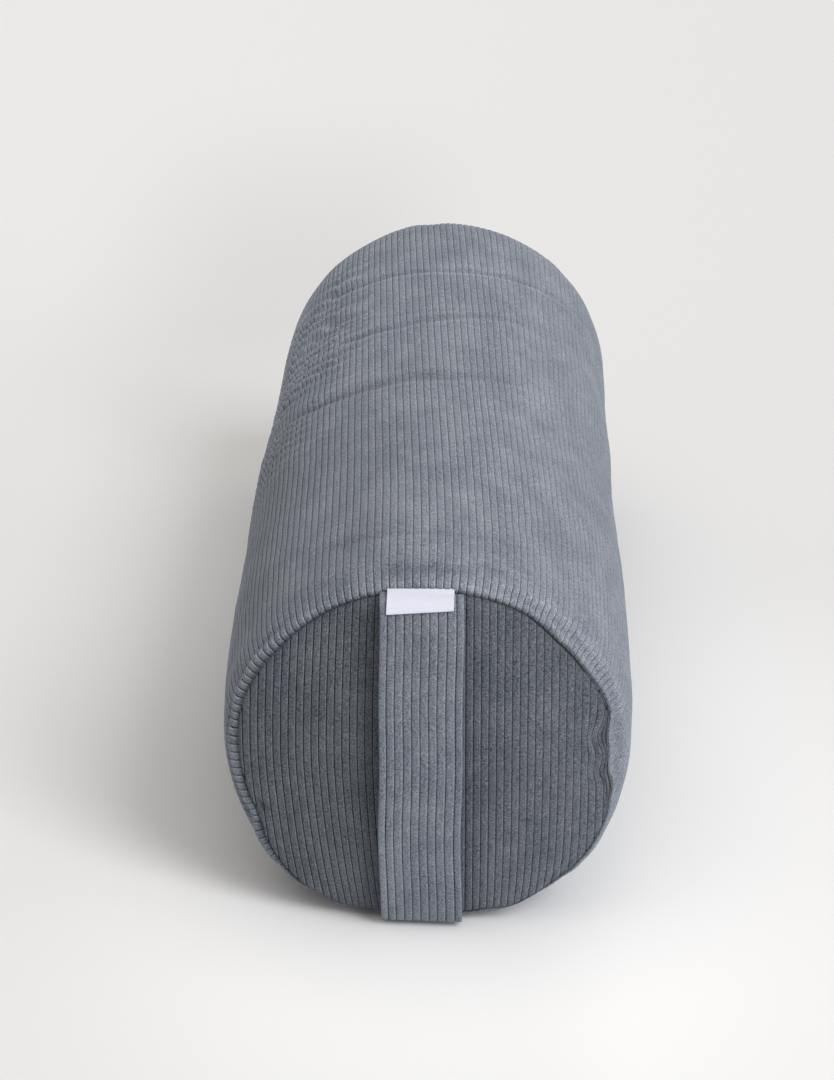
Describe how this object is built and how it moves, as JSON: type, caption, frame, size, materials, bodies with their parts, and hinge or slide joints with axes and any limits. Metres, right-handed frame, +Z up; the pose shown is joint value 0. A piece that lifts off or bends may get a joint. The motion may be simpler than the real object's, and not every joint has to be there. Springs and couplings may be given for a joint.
{
  "type": "yoga bolster",
  "caption": "Round yoga bolster: zipped corduroy cover with domed ends, a strap handle and a blank label, over a stuffed cotton bag.",
  "frame": {"origin": "on the floor, under the middle of the whole object", "axes": "+Y along the bolster from the handle end to the plain end, +Z up, +X to the right seen from the handle"},
  "size_m": [0.22, 0.6395, 0.207],
  "materials": {
    "corduroy": "wide-wale corduroy",
    "label_tape": "woven label tape",
    "zip_tape": "woven zip tape",
    "zip_nylon": "nylon coil",
    "zip_metal": "plated zinc",
    "cotton": "unbleached plain weave",
    "fibre": "loose fibre"
  },
  "bodies": {
    "root": {"cover_tube": "corduroy", "end_panel_handle": "corduroy", "end_panel_plain": "corduroy", "handle_top_end": "corduroy", "handle_bottom_end": "corduroy", "zip_tape_upper": "zip_tape", "zip_tape_lower": "zip_tape", "zip_chain_upper": "zip_nylon", "zip_chain_lower": "zip_nylon", "zip_top_stop_upper": "zip_metal", "zip_top_stop_lower": "zip_metal", "zip_bottom_stop": "zip_metal", "inner_bag_tube": "cotton", "inner_bag_handle_end": "cotton", "inner_bag_plain_end": "cotton", "fibre_fill": "fibre"},
    "handle": {"handle_grip": "corduroy"},
    "label": {"seam_label": "label_tape"},
    "slider": {"zip_slider": "zip_metal"},
    "pull": {"zip_pull": "zip_metal"}
  },
  "joints": [
    {"name": "handle_pull", "type": "slide", "parent": "root", "child": "handle", "axis": [0, -1, 0], "range_m": [0, 0.025], "stiffness_N_per_m": 200},
    {"name": "label_lift", "type": "hinge", "parent": "root", "child": "label", "pos_m": [-0.0032, -0.29523, 0.20035], "axis": [-1, 0, 0], "range_deg": [0, 80]},
    {"name": "zip_slide", "type": "slide", "parent": "root", "child": "slider", "axis": [0, -1, 0], "range_m": [0, 0.3], "deforming": ["zip_chain_upper", "zip_chain_lower"]},
    {"name": "zip_pull_swing", "type": "hinge", "parent": "slider", "child": "pull", "pos_m": [-0.10034, 0.22035, 0.04701], "axis": [0, 1, 0], "range_deg": [-15, 140]}
  ]
}
